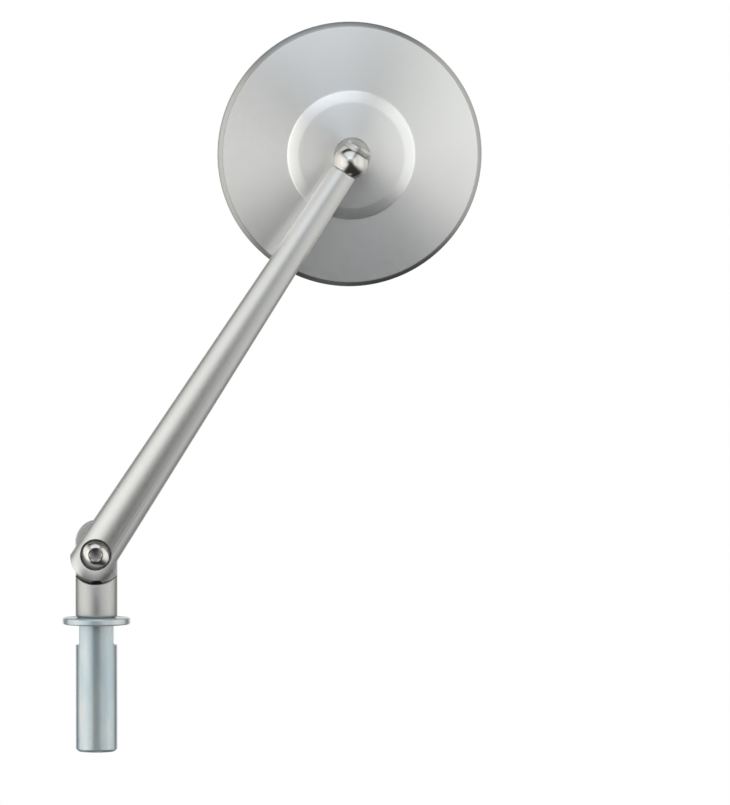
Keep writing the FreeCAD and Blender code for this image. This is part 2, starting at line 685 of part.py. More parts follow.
def mirror_glass(model):
    """Round convex glass of even thickness."""
    body = model.body("mirror_glass", head_frame(model))
    edge = f"{GLASS_RADIUS} - seal_gap"
    bulge = f"(glass_radius - sqrt(glass_radius ^ 2 - ({edge}) ^ 2))"
    model.turned(body, "lens", [
        ("0", above_rim(f"glass_recess - {bulge}")),
        (edge, above_rim("glass_recess")),
        (edge, above_rim("glass_recess + glass_thickness")),
        ("0", above_rim(f"glass_recess + glass_thickness - {bulge}")),
    ], {0: ("glass_radius", 1), 2: ("glass_radius", -1)})


def glass_seal(model):
    """Rubber seal round the glass, with a foot behind its edge."""
    body = model.body("glass_seal", head_frame(model))
    outer = f"{RIM_INSIDE} - seal_gap"
    foot = f"{GLASS_RADIUS} - seal_foot_width"
    foot_top = above_rim("glass_recess + glass_thickness + seal_gap")
    back = above_rim(f"{LEDGE} - seal_gap")
    front = above_rim("seal_recess")
    model.turned(body, "section", [
        (foot, foot_top),
        (GLASS_RADIUS, foot_top),
        (GLASS_RADIUS, front),
        (outer, front),
        (outer, back),
        (foot, back),
    ])


def main():
    """Build every sub-part and write it."""
    model = Modeller()
    for build in (
        mount_post, base_knuckle, hinge_screw, hinge_spring_washer, hinge_friction_disc,
        mirror_arm, ball_socket, seat_spring, lower_ball_seat, upper_ball_seat,
        ball_stud, stud_washer, stud_nut, mirror_housing, mirror_glass, glass_seal,
    ):
        build(model)
    model.write()


main()
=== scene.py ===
"""Scooter mirror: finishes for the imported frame, finely modelled pieces, and the studio of the photograph."""
import json
import logging
import math
from dataclasses import dataclass
from enum import Enum

import bmesh
import bpy
from mathutils import Matrix, Vector


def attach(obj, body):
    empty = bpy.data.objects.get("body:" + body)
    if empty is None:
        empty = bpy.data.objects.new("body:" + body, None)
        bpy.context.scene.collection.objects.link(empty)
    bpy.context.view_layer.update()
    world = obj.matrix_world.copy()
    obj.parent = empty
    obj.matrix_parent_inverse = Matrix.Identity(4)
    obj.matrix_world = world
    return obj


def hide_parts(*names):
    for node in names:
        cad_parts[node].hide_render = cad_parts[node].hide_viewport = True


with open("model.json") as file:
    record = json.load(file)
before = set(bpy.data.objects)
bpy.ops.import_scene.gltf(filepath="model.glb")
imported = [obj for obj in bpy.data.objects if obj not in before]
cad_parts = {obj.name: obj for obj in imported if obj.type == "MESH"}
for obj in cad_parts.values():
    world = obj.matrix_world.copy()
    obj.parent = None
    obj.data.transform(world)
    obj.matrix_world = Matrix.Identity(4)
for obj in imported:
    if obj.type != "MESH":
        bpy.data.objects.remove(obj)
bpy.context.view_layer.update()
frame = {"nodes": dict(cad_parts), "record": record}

LOG = logging.getLogger("scooter_mirror")
# Metres in a millimetre, degrees in half a turn, and how far cutters reach past a piece, in millimetres.
MM = 0.001
HALF_TURN = 180.0
CLEAR = 12.0
Material = bpy.types.Material
Socket = bpy.types.NodeSocket


class Slot(Enum):
    """Material slots of the record."""

    SATIN = "satin_aluminium"
    STEEL = "polished_steel"
    ZINC = "zinc_steel"
    NYLON = "nylon"
    GLASS = "mirror_glass"
    RUBBER = "black_rubber"


class Curve(Enum):
    """Ways between the ends of a mapped range."""

    STRAIGHT = "LINEAR"
    SMOOTH = "SMOOTHSTEP"
    SMOOTHER = "SMOOTHERSTEP"


class Cut(Enum):
    """Ways of cutting one piece with another."""

    AWAY = "DIFFERENCE"
    KEEP = "INTERSECT"
    JOIN = "UNION"


class Side(Enum):
    """Sides of the way along a wire."""

    LEFT = 1
    RIGHT = -1


@dataclass(frozen=True)
class Grain:
    """A noise over a surface, with its scale per metre and the range of its values that counts."""

    scale: float
    low: float = 0.3
    high: float = 0.7
    detail: float = 3.0
    stretch: tuple = (1.0, 1.0, 1.0)


@dataclass(frozen=True)
class Relief:
    """Fine bumps that follow a noise; their depth is in millimetres."""

    grain: Grain
    strength: float
    depth: float


class Graph:
    """Nodes of a material or a world, with short calls for making and linking them."""

    def __init__(self, owner: Material | bpy.types.World) -> None:
        """Take over an owner's nodes and clear them.

        Args:
            owner: material or world.
        """
        owner.use_nodes = True
        self.owner = owner
        self.nodes = owner.node_tree.nodes
        self.links = owner.node_tree.links
        self.nodes.clear()

    def put(self, inlet: Socket, value: Socket | Vector | float | tuple) -> None:
        """Link an output to an input, or write a constant on it.

        Args:
            inlet: the input.
            value: an output or a constant.
        """
        if isinstance(value, Socket):
            self.links.new(value, inlet)
        else:
            inlet.default_value = value

    def node(self, kind: str, inlets: dict | None = None, **settings: str) -> bpy.types.Node:
        """Make a node.

        Args:
            kind: its type, without the leading ShaderNode.
            inlets: outputs or constants for its inputs, by name or number.
            settings: its own settings.

        Returns:
            The node.
        """
        node = self.nodes.new("ShaderNode" + kind)
        for name, value in settings.items():
            setattr(node, name, value)
        for key, value in (inlets or {}).items():
            self.put(node.inputs[key], value)
        return node

    def span(self, value: Socket, old: tuple, new: tuple, curve: Curve = Curve.STRAIGHT) -> Socket:
        """Map a value from one range to another, held at the ends.

        Args:
            value: the value.
            old: its range.
            new: range that it is mapped to.
            curve: way between the ends.

        Returns:
            The mapped value.
        """
        ends = dict(zip(("From Min", "From Max", "To Min", "To Max"), (*old, *new)))
        node = self.node("MapRange", {"Value": value, **ends}, interpolation_type=curve.value)
        return node.outputs["Result"]


class Tree(Graph):
    """Nodes of one material round its shader."""

    quarter_turn: float = 0.25
    # Numbers of the colour sockets on a mix node, whose names other sockets share.
    mix_first: int = 6
    mix_second: int = 7
    mix_result: int = 2

    def __init__(self, name: str) -> None:
        """Start a material that has only a shader and an output.

        Args:
            name: its name.
        """
        super().__init__(bpy.data.materials.new(name))
        self.shader = self.node("BsdfPrincipled")
        self.node("OutputMaterial", {"Surface": self.shader.outputs["BSDF"]})
        self.place = self.node("TexCoord").outputs["Object"]

    def set(self, **values: Socket | float) -> None:
        """Feed the shader's inputs by name, underscores standing for spaces."""
        for name, value in values.items():
            self.put(self.shader.inputs[name.replace("_", " ")], value)

    def vector(self, operation: str, first: Socket, second: Socket | Vector | tuple = (0.0, 0.0, 0.0),
               output: str = "Vector") -> Socket:
        """One sum of vectors."""
        return self.node("VectorMath", {0: first, 1: second}, operation=operation).outputs[output]

    def noise(self, grain: Grain) -> Socket:
        """Noise from zero to one over the object."""
        inlets = {"Vector": self.vector("MULTIPLY", self.place, grain.stretch), "Scale": grain.scale}
        return self.node("TexNoise", {"Detail": grain.detail, **inlets}).outputs["Fac"]

    def ramp(self, value: Socket, *stops: tuple) -> Socket:
        """Colour ramp over a value.

        Args:
            value: the value.
            stops: (position, (red, green, blue)) of each stop, in order.

        Returns:
            The colour.
        """
        node = self.node("ValToRGB", {"Fac": value})
        elements = node.color_ramp.elements
        while len(elements) < len(stops):
            elements.new(0.5)
        for element, (position, colour) in zip(elements, stops):
            element.position = position
            element.color = (*colour, 1.0)
        return node.outputs["Color"]

    def blend(self, share: Socket, first: Socket, second: tuple) -> Socket:
        """Blend a colour into a constant one."""
        inlets = {"Factor": share, self.mix_first: first, self.mix_second: (*second, 1.0)}
        return self.node("Mix", inlets, data_type="RGBA").outputs[self.mix_result]

    def bump(self, relief: Relief) -> Socket:
        """Normal with fine bumps."""
        inlets = {"Strength": relief.strength, "Distance": relief.depth * MM}
        return self.node("Bump", {"Height": self.noise(relief.grain), **inlets}).outputs["Normal"]

    def outward(self, axis: Matrix) -> Socket:
        """Way from an axis, the Z of a frame, to each point."""
        away = self.vector("SUBTRACT", self.place, axis.translation)
        return self.vector("SUBTRACT", away, self.vector("PROJECT", away, axis.to_3x3().col[2]))

    def reach(self, axis: Matrix) -> Socket:
        """Distance of each point from an axis, in metres."""
        return self.vector("LENGTH", self.outward(axis), output="Value")

    def level(self, axis: Matrix) -> Socket:
        """Height of each point along an axis, in metres."""
        away = self.vector("SUBTRACT", self.place, axis.translation)
        return self.vector("DOT_PRODUCT", away, axis.to_3x3().col[2], "Value")

    def turned(self, axis: Matrix) -> None:
        """Run the grain of the sheen round an axis, so that the shine spreads across the grooves.

        Args:
            axis: frame whose Z is the axis.
        """
        along = self.vector("CROSS_PRODUCT", self.outward(axis), axis.to_3x3().col[2])
        carried = self.node("VectorTransform", {"Vector": along}, vector_type="VECTOR",
                            convert_from="OBJECT", convert_to="WORLD")
        self.set(Tangent=carried.outputs["Vector"], Anisotropic_Rotation=self.quarter_turn)


@dataclass(frozen=True, kw_only=True)
class Finish:
    """A clouded tone with an uneven sheen, and fine bumps where it has them; every finish starts from it."""

    name: str
    tone: tuple
    shade: tuple
    roughness: tuple
    cloud: Grain
    sheen: Grain = Grain(700.0)
    relief: Relief | None = None
    metal: float = 1.0

    def build(self) -> Material:
        """Make the material.

        Returns:
            The material.
        """
        tree = Tree(self.name)
        tree.set(Base_Color=self.colour(tree), Roughness=self.gloss(tree), Metallic=self.metal)
        if self.relief:
            tree.set(Normal=tree.bump(self.relief))
        self.treat(tree)
        return tree.owner

    def colour(self, tree: Tree) -> Socket:
        """Colour over the surface, clouded between the shade and the tone."""
        return tree.ramp(tree.noise(self.cloud), (self.cloud.low, self.shade), (self.cloud.high, self.tone))

    def gloss(self, tree: Tree) -> Socket:
        """Roughness over the surface, slightly uneven."""
        return tree.span(tree.noise(self.sheen), (self.sheen.low, self.sheen.high), self.roughness)

    def treat(self, tree: Tree) -> None:
        """Add what only some finishes have."""


@dataclass(frozen=True, kw_only=True)
class SatinAluminium(Finish):
    """Bead-blasted and anodised aluminium."""

    name: str = "blasted_aluminium"
    tone: tuple = (0.69, 0.685, 0.675)
    shade: tuple = (0.66, 0.655, 0.645)
    roughness: tuple = (0.41, 0.46)
    cloud: Grain = Grain(45.0, detail=4.0)
    relief: Relief = Relief(Grain(5200.0, detail=2.0), 0.18, 0.04)


@dataclass(frozen=True, kw_only=True)
class ShadedAluminium(SatinAluminium):
    """The same aluminium with painted shade: a darker tone on the knuckle."""

    name: str = "grey_aluminium"
    # Painted shade: a darker tone than the same aluminium elsewhere, for the knuckle.
    tone: tuple = (0.50, 0.495, 0.485)
    shade: tuple = (0.47, 0.467, 0.46)


@dataclass(frozen=True, kw_only=True)
class LatheFinish(Finish):
    """A finish on a turned piece, whose shine runs in fans or bands across the grooves."""

    axis: Matrix
    stretch: float

    def treat(self, tree: Tree) -> None:
        """Spread the shine across the grooves."""
        tree.turned(self.axis)
        tree.set(Anisotropic=self.stretch)


@dataclass(frozen=True, kw_only=True)
class TurnedAluminium(LatheFinish):
    """Aluminium turned and blasted, darker outside a radius, where painted shade lies on the rim's edge."""

    name: str = "turned_aluminium"
    tone: tuple = (0.975, 0.97, 0.965)
    shade: tuple = (0.945, 0.94, 0.935)
    roughness: tuple = (0.40, 0.45)
    cloud: Grain = Grain(45.0, detail=4.0)
    relief: Relief = Relief(Grain(5200.0, detail=2.0), 0.10, 0.03)
    stretch: float = 0.73
    # Painted shade: this colour darkens the rim's bevel and side outside the radius below.
    edge: tuple = (0.46, 0.46, 0.45)
    painted_shade_radius: float = 49.05
    painted_shade_fade: float = 0.25

    def colour(self, tree: Tree) -> Socket:
        """Clouded tone with painted shade on the edge."""
        ends = (self.painted_shade_radius * MM, (self.painted_shade_radius + self.painted_shade_fade) * MM)
        return tree.blend(tree.span(tree.reach(self.axis), ends, (0.0, 1.0)), super().colour(tree), self.edge)


@dataclass(frozen=True, kw_only=True)
class TurnedSteel(TurnedAluminium):
    """Steel of the stud, turned like the shell, with painted shade on the collar's edge."""

    name: str = "turned_steel"
    tone: tuple = (0.62, 0.605, 0.585)
    shade: tuple = (0.58, 0.565, 0.545)
    # Painted shade: this colour darkens the collar's edge outside the radius below.
    edge: tuple = (0.33, 0.32, 0.31)
    painted_shade_radius: float = 6.45


@dataclass(frozen=True, kw_only=True)
class ZincPlate(LatheFinish):
    """Bright zinc plate with a blue passivation, on a turned pin."""

    name: str = "blue_zinc"
    tone: tuple = (0.60, 0.64, 0.64)
    shade: tuple = (0.485, 0.575, 0.62)
    blush: tuple = (0.64, 0.60, 0.59)
    blush_start: float = 0.74
    roughness: tuple = (0.29, 0.35)
    cloud: Grain = Grain(150.0, 0.42, 0.62, 4.0, (1.0, 1.0, 0.3))
    sheen: Grain = Grain(500.0)
    relief: Relief = Relief(Grain(2600.0, detail=2.0), 0.16, 0.04)
    metal: float = 0.6
    stretch: float = 0.85

    def colour(self, tree: Tree) -> Socket:
        """Bluish metal with paler and pinkish clouds, streaked along the pin."""
        stops = (self.cloud.low, self.shade), (self.cloud.high, self.tone), (self.blush_start, self.blush)
        return tree.ramp(tree.noise(self.cloud), *stops)


@dataclass(frozen=True, kw_only=True)
class PolishedSteel(Finish):
    """Polished stainless steel with faint hairlines."""

    name: str = "polished_steel"
    tone: tuple = (0.66, 0.635, 0.61)
    shade: tuple = (0.61, 0.59, 0.565)
    roughness: tuple = (0.14, 0.20)
    cloud: Grain = Grain(160.0, 0.35, 0.65)
    sheen: Grain = Grain(1500.0)
    relief: Relief = Relief(Grain(1800.0, stretch=(1.0, 9.0, 1.0)), 0.05, 0.03)


@dataclass(frozen=True, kw_only=True)
class ZonedSteel(PolishedSteel):
    """Polished steel with a zone of another tone; its roughness is that outside and that inside the zone."""

    axis: Matrix
    start: float
    fade: float
    zone_tone: tuple
    relief: Relief = Relief(Grain(1800.0), 0.05, 0.03)

    def ends(self) -> tuple:
        """Where the zone begins and where it is full, in metres."""
        return self.start * MM, (self.start + self.fade) * MM

    def zone(self, tree: Tree) -> Socket:
        """One inside the zone, which lies past a level on the axis, and nothing outside."""
        return tree.span(tree.level(self.axis), self.ends(), (0.0, 1.0))

    def colour(self, tree: Tree) -> Socket:
        """Clouded tone, and that of the zone."""
        return tree.blend(self.zone(tree), super().colour(tree), self.zone_tone)

    def gloss(self, tree: Tree) -> Socket:
        """Two kinds of sheen."""
        return tree.span(self.zone(tree), (0.0, 1.0), self.roughness)


@dataclass(frozen=True, kw_only=True)
class SocketSteel(ZonedSteel):
    """Steel of the ball socket: polished on the ball, left as turned on the end boss."""

    name: str = "socket_steel"
    tone: tuple = (0.62, 0.60, 0.575)
    shade: tuple = (0.58, 0.56, 0.535)
    zone_tone: tuple = (0.60, 0.585, 0.565)
    roughness: tuple = (0.17, 0.38)
    fade: float = 0.15
    stretch: float = 0.8

    def treat(self, tree: Tree) -> None:
        """Spread the shine across the grooves of the boss."""
        tree.turned(self.axis)
        tree.set(Anisotropic=tree.span(self.zone(tree), (0.0, 1.0), (0.0, self.stretch)))


@dataclass(frozen=True, kw_only=True)
class ScrewSteel(ZonedSteel):
    """Steel of the hinge screw: polished outside, dull in its hexagon, with painted shade darkening the
    hexagon.
    """

    name: str = "screw_steel"
    # Painted shade: this dark colour fills the hexagon recess.
    zone_tone: tuple = (0.27, 0.26, 0.25)
    roughness: tuple = (0.17, 0.34)
    fade: float = 0.1

    def zone(self, tree: Tree) -> Socket:
        """One near the axis, where the painted shade of the hexagon lies, and nothing outside."""
        return tree.span(tree.reach(self.axis), self.ends(), (1.0, 0.0))


@dataclass(frozen=True, kw_only=True)
class NaturalNylon(Finish):
    """Unpainted creamy nylon with faint mottling."""

    name: str = "natural_nylon"
    tone: tuple = (0.86, 0.85, 0.79)
    shade: tuple = (0.78, 0.76, 0.70)
    roughness: tuple = (0.42, 0.58)
    cloud: Grain = Grain(300.0)
    sheen: Grain = Grain(900.0)
    metal: float = 0.0


@dataclass(frozen=True, kw_only=True)
class BlackRubber(Finish):
    """Near-black rubber with a fine matt grain."""

    name: str = "black_rubber"
    tone: tuple = (0.020, 0.020, 0.021)
    shade: tuple = (0.011, 0.011, 0.012)
    roughness: tuple = (0.62, 0.80)
    cloud: Grain = Grain(420.0)
    sheen: Grain = Grain(900.0)
    relief: Relief = Relief(Grain(3800.0), 0.2, 0.05)
    metal: float = 0.0


@dataclass(frozen=True, kw_only=True)
class SilveredGlass(Finish):
    """Silvered mirror glass: a clean mirror with a trace of haze."""

    name: str = "silvered_glass"
    tone: tuple = (0.93, 0.94, 0.945)
    shade: tuple = (0.91, 0.92, 0.925)
    roughness: tuple = (0.012, 0.03)
    cloud: Grain = Grain(25.0)
    sheen: Grain = Grain(60.0)
    coat: float = 0.5
    coat_roughness: float = 0.02

    def treat(self, tree: Tree) -> None:
        """Lay the clear glass over the silver."""
        tree.set(Coat_Weight=self.coat, Coat_Roughness=self.coat_roughness)


@dataclass(frozen=True)
class Layout:
    """Frames of the sub-assemblies, from the same sizes as the solids (millimetres and degrees)."""

    hinge_height: float = 34.8
    half_gap: float = 0.425
    arm_lean: float = 33.0
    arm_length: float = 179.0
    head_turn: float = 6.5
    ball_offset: float = 2.4

    @staticmethod
    def lift(height: float) -> Matrix:
        """Move up the frame's own axis."""
        return Matrix.Translation((0.0, 0.0, height * MM))

    @staticmethod
    def turn(degrees: float, axis: str) -> Matrix:
        """Turn about one axis of the frame."""
        return Matrix.Rotation(math.radians(degrees), 4, axis)

    def hinge(self) -> Matrix:
        """Frame on the hinge axis, Z towards the screw's head."""
        return self.lift(self.hinge_height) @ self.turn(90.0, "X")

    def arm(self) -> Matrix:
        """Frame on the hinge axis, Z along the arm."""
        return self.lift(self.hinge_height) @ self.turn(self.arm_lean, "Y")

    def socket(self) -> Matrix:
        """Frame in the middle of the socket, Z along the arm and Y towards the head."""
        return self.arm() @ self.lift(self.arm_length) @ self.turn(self.head_turn, "Z")

    def head(self) -> Matrix:
        """Frame in the middle of the stud's ball, Z out of the mirror's back."""
        return self.socket() @ self.lift(self.ball_offset) @ self.turn(90.0, "X")


class Work:
    """One piece on the bench, shaped step by step with the mesh operators, in millimetres and degrees."""

    merge_gap: float = 0.0005
    weld_gap: float = 0.01
    sliver: float = 0.002
    sharp_angle: float = 38.0
    smooth_angle: float = 32.0
    fewest_steps: int = 4
    most_steps: int = 44
    steps_a_radian: float = 14.0
    steps_a_millimetre: float = 1.6

    def __init__(self, name: str) -> None:
        """Lay a small plane on the bench to start from.

        Args:
            name: name of the piece.
        """
        bpy.ops.object.select_all(action="DESELECT")
        bpy.ops.mesh.primitive_plane_add(size=MM)
        self.object = bpy.context.object
        self.object.name = name
        self.reach = Vector((0.0, 0.0))

    def take(self) -> None:
        """Select this piece alone."""
        bpy.ops.object.select_all(action="DESELECT")
        bpy.context.view_layer.objects.active = self.object
        self.object.select_set(True)

    def edit(self) -> None:
        """Go into edit mode with all of this piece selected."""
        self.take()
        bpy.ops.object.mode_set(mode="EDIT")
        bpy.ops.mesh.select_all(action="SELECT")

    def rest(self) -> "Work":
        """Leave edit mode and hand on this piece."""
        bpy.ops.object.mode_set(mode="OBJECT")
        return self

    def merge(self) -> None:
        """Merge the points that meet."""
        bpy.ops.mesh.select_all(action="SELECT")
        bpy.ops.mesh.remove_doubles(threshold=self.merge_gap * MM)

    def close(self) -> "Work":
        """Merge what meets, turn the faces outwards and leave edit mode.

        Returns:
            This piece.
        """
        self.merge()
        bpy.ops.mesh.normals_make_consistent(inside=False)
        return self.rest()

    def draw(self, start: tuple, *strokes: tuple) -> "Work":
        """Draw a wire across X and up Z.

        Args:
            start: first point, (across, up).
            strokes: (across, up) for a line, (across, up, radius, side) for an arc whose centre is on that
                side of the way along.

        Returns:
            This piece.
        """
        self.edit()
        bpy.ops.mesh.select_mode(type="VERT")
        bpy.ops.mesh.merge(type="CENTER")
        bpy.ops.transform.translate(value=(start[0] * MM, 0.0, start[1] * MM))
        self.reach = Vector(start)
        for across, up, *arc in strokes:
            stop = Vector((across, up))
            if arc:
                self.swing(stop, *arc)
            else:
                step = (stop - self.reach) * MM
                bpy.ops.mesh.extrude_region_move(TRANSFORM_OT_translate={"value": (step.x, 0.0, step.y)})
            self.reach = stop
        self.merge()
        return self.rest()

    def swing(self, stop: Vector, radius: float, side: Side) -> None:
        """Spin the wire's end along an arc.

        Args:
            stop: end of the arc.
            radius: its radius.
            side: side of its centre.
        """
        chord = stop - self.reach
        rise = math.sqrt(radius ** 2 - (chord.length / 2) ** 2)
        centre = (self.reach + stop) / 2 + Vector((-chord.y, chord.x)).normalized() * rise * side.value
        sweep = 2 * math.asin(chord.length / 2 / radius) * side.value
        wanted = round(max(abs(sweep) * self.steps_a_radian, chord.length * self.steps_a_millimetre))
        steps = max(self.fewest_steps, min(self.most_steps, wanted))
        pivot = centre.x * MM, 0.0, centre.y * MM
        bpy.ops.mesh.spin(steps=steps, angle=sweep, center=pivot, axis=(0, 1, 0))

    def soften(self, offset: float, *corners: tuple, segments: int = 3) -> "Work":
        """Round corners of the wire.

        Args:
            offset: how far the rounding reaches along the sides.
            corners: (across, up) of each corner.
            segments: steps of the rounding.

        Returns:
            This piece.
        """
        self.edit()
        bpy.ops.mesh.select_all(action="DESELECT")
        mesh = bmesh.from_edit_mesh(self.object.data)
        for across, up in corners:
            place = Vector((across * MM, 0.0, up * MM))
            min(mesh.verts, key=lambda vert: (vert.co - place).length).select_set(True)
        bmesh.update_edit_mesh(self.object.data)
        bpy.ops.mesh.bevel(offset=offset * MM, segments=segments, affect="VERTICES")
        return self.rest()

    def turned(self, steps: int) -> "Work":
        """Spin the wire about Z into a closed body.

        Args:
            steps: steps of a full turn.

        Returns:
            This piece.
        """
        self.edit()
        bpy.ops.mesh.spin(steps=steps, angle=math.tau, center=(0, 0, 0), axis=(0, 0, 1))
        return self.close()

    def plate(self, low: float, high: float) -> "Work":
        """Fill a closed wire and extrude it along Y.

        Args:
            low: level of its near face.
            high: level of its far face.

        Returns:
            This piece.
        """
        self.edit()
        bpy.ops.transform.translate(value=(0.0, low * MM, 0.0))
        bpy.ops.mesh.edge_face_add()
        bpy.ops.mesh.extrude_region_move(TRANSFORM_OT_translate={"value": (0.0, (high - low) * MM, 0.0)})
        return self.close()

    def modify(self, kind: str, **settings: object) -> None:
        """Apply a modifier.

        Args:
            kind: its type.
            settings: its settings.
        """
        self.take()
        modifier = self.object.modifiers.new(kind, kind)
        for name, value in settings.items():
            setattr(modifier, name, value)
        bpy.ops.object.modifier_apply(modifier=modifier.name)

    def cut(self, tool: "Work", how: Cut = Cut.AWAY) -> "Work":
        """Cut this piece with another one, which is used up.

        Args:
            tool: the other piece.
            how: what is kept.

        Returns:
            This piece.
        """
        self.modify("BOOLEAN", operation=how.value, solver="EXACT", object=tool.object)
        bpy.data.objects.remove(tool.object, do_unlink=True)
        self.edit()
        bpy.ops.mesh.remove_doubles(threshold=self.weld_gap * MM)
        bpy.ops.mesh.dissolve_degenerate(threshold=self.weld_gap * MM)
        return self.rest()

    def ease(self, width: float, segments: int = 3) -> None:
        """Round the sharp edges with a bevel."""
        self.modify("BEVEL", width=width * MM, segments=segments, miter_outer="MITER_ARC",
                    limit_method="ANGLE", angle_limit=math.radians(self.sharp_angle), use_clamp_overlap=False)

    def place(self, at: Matrix) -> "Work":
        """Put the piece into a frame and apply it to the mesh.

        Args:
            at: the frame.

        Returns:
            This piece.
        """
        self.take()
        self.object.matrix_world = at
        bpy.ops.object.transform_apply(location=True, rotation=True, scale=True)
        return self

    def finish(self, node: str, body: str, slot: Slot, finish: Material) -> None:
        """Shade the piece, dress it and let it stand for its node.

        Args:
            node: node that it replaces.
            body: body that it rides on.
            slot: record slot of its finish; not used.
            finish: its material.
        """
        self.edit()
        bpy.ops.mesh.quads_convert_to_tris(quad_method="BEAUTY", ngon_method="BEAUTY")
        bpy.ops.mesh.dissolve_degenerate(threshold=self.sliver * MM)
        self.close()
        bpy.ops.object.shade_smooth_by_angle(angle=math.radians(self.smooth_angle))
        self.object.data.materials.clear()
        self.object.data.materials.append(finish)
        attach(self.object, body)
        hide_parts(node)
        LOG.info("%s: %d faces", self.object.name, len(self.object.data.polygons))


def rod(name: str, radius: float, low: float, high: float, sides: int = 96) -> Work:
    """Turn a plain rod about Z, for use as a cutter."""
    return Work(name).draw((0, low), (radius, low), (radius, high), (0, high)).turned(sides)


def block(name: str, across: tuple, up: tuple, deep: tuple) -> Work:
    """Make a block between two ends on X, Z and Y, for use as a cutter."""
    (left, right), (low, high) = across, up
    return Work(name).draw((left, low), (right, low), (right, high), (left, high), (left, low)).plate(*deep)


@dataclass
class Post:
    """Zinc-plated pin with a flange and two spanner flats."""

    finish: Material
    radius: float = 8.0
    length: float = 41.0
    chamfer: float = 1.0
    chamfer_ease: float = 0.2
    flat: float = 6.5
    seat: float = 7.8
    flange_radius: float = 12.99
    flange_top: float = 10.4
    flange_round: float = 0.7
    stub_radius: float = 4.0
    stub_top: float = 21.4
    edge: float = 0.22
    sides: int = 128

    def build(self) -> None:
        """Turn the pin, mill its flats, join the flange and ease the edges."""
        rim, soft = self.flange_radius, self.flange_round
        pin_top = self.flange_top - soft
        end = self.radius - self.chamfer, -self.length
        shoulder = self.radius, self.chamfer - self.length
        pin = Work("post_pin").draw((0, -self.length), end, shoulder, (self.radius, pin_top), (0, pin_top))
        pin.soften(self.chamfer_ease, end, shoulder)
        pin.turned(self.sides)
        for side in (-1, 1):
            across = side * self.flat, side * CLEAR
            pin.cut(block("flat_mill", across, (0, pin_top - soft), (-CLEAR, CLEAR)))
        flange = Work("flange_disc").draw(
            (0, self.seat),
            (rim - soft, self.seat),
            (rim, self.seat + soft, soft, Side.LEFT),
            (rim, self.flange_top - soft),
            (rim - soft, self.flange_top, soft, Side.LEFT),
            (self.stub_radius, self.flange_top),
            (self.stub_radius, self.stub_top),
            (0, self.stub_top),
        )
        pin.cut(flange.turned(self.sides), Cut.JOIN)
        pin.ease(self.edge)
        pin.finish("mount_post", "base", Slot.ZINC, self.finish)


@dataclass
class Knuckle:
    """Round knuckle with a scoop in front and a round lug behind."""

    finish: Material
    radius: float = 8.0
    foot: float = Post.flange_top
    chamfer: float = 0.8
    chamfer_ease: float = 0.3
    bore: float = 4.05
    bore_end: float = 22.4
    bore_point: float = 30.0
    lug_centre: float = 39.6
    lug_margin: float = 1.5
    foot_margin: float = 2.0
    scoop: float = 11.5
    scoop_margin: float = 3.0
    thread: float = 3.05
    thread_sides: int = 64
    edge: float = 0.42
    sides: int = 128

    def build(self) -> None:
        """Turn the bar, round the lug, cut the scoop and tap the hole."""
        radius, level, hinge = self.radius, self.lug_centre, Layout.hinge_height
        top = level + radius
        end = radius - self.chamfer, self.foot
        shoulder = radius, self.foot + self.chamfer
        bar = Work("hinge_knuckle").draw(
            (self.bore, self.foot),
            end,
            shoulder,
            (radius, top),
            (0, top),
            (0, self.bore_end + self.bore * math.tan(math.radians(self.bore_point))),
            (self.bore, self.bore_end),
            (self.bore, self.foot),
        )
        bar.soften(self.chamfer_ease, end, shoulder)
        bar.turned(self.sides)
        wide, low = radius + self.lug_margin, self.foot - self.foot_margin
        lug = Work("lug_form").draw(
            (-wide, low), (wide, low), (wide, level), (radius, level), (0, top, radius, Side.LEFT),
            (-radius, level, radius, Side.LEFT), (-wide, level), (-wide, low),
        )
        bar.cut(lug.plate(-CLEAR, CLEAR), Cut.KEEP)
        reach, high = self.scoop, top + self.scoop_margin
        scoop = Work("scoop_cutter").draw(
            (-reach, hinge), (0, hinge - reach, reach, Side.LEFT), (reach, hinge, reach, Side.LEFT),
            (reach, high), (-reach, high), (-reach, hinge),
        )
        bar.cut(scoop.plate(-CLEAR, Layout.half_gap))
        drill = rod("thread_drill", self.thread, -CLEAR, CLEAR, self.thread_sides)
        bar.cut(drill.place(Layout().hinge()))
        bar.ease(self.edge)
        bar.finish("base_knuckle", "base", Slot.SATIN, self.finish)


